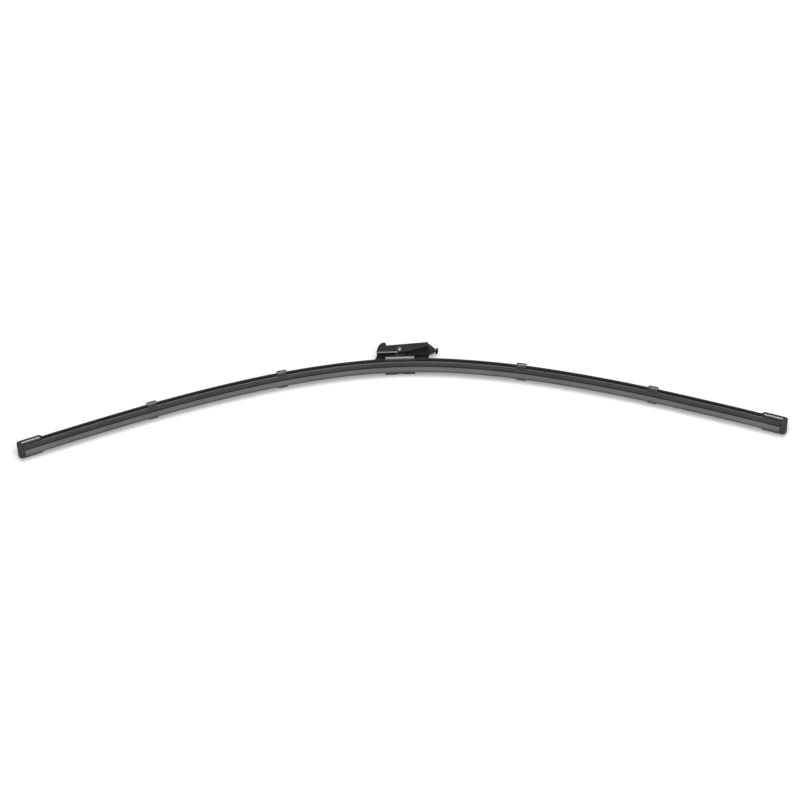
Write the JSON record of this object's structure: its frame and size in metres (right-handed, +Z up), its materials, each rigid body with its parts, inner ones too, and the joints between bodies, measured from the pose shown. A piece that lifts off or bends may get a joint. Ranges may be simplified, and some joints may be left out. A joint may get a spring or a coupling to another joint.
{
  "type": "wiper blade",
  "caption": "Flat spring-steel windscreen wiper blade with a rubber wiping strip, rail clips, end caps and a rocking arm connector on a riveted base bracket.",
  "frame": {"origin": "middle of the base bracket's lower side face, on which the blade lies", "axes": "+X along the blade towards the connector's nose, +Y from the wiping lip to the connector, +Z up through the blade's width"},
  "size_m": [0.6268, 0.1219, 0.0179],
  "materials": {
    "strip_rubber": "matt extruded rubber with a graphite-grey wiping wedge",
    "rail_steel": "black coated spring steel, satin",
    "moulded_plastic": "black moulded plastic, fine matt grain",
    "bracket_metal": "black painted steel pressing, satin",
    "rivet_steel": "bare steel, peened ends",
    "connector_plastic": "black moulded plastic, satin"
  },
  "bodies": {
    "blade": {"wiper_rubber": "strip_rubber", "spring_rail_upper": "rail_steel", "spring_rail_lower": "rail_steel", "rail_clip_1": "moulded_plastic", "rail_clip_2": "moulded_plastic", "rail_clip_3": "moulded_plastic", "rail_clip_4": "moulded_plastic", "end_cap_left": "moulded_plastic", "end_cap_right": "moulded_plastic", "base_bracket": "bracket_metal", "pivot_rivet": "rivet_steel", "pivot_bush": "rivet_steel"},
    "connector": {"connector_body": "connector_plastic", "connector_cover": "connector_plastic"}
  },
  "joints": [
    {"name": "connector_pivot", "type": "hinge", "parent": "blade", "child": "connector", "pos_m": [0, 0.01199, 0.00895], "axis": [0, 0, 1], "range_deg": [-8, 8]}
  ]
}
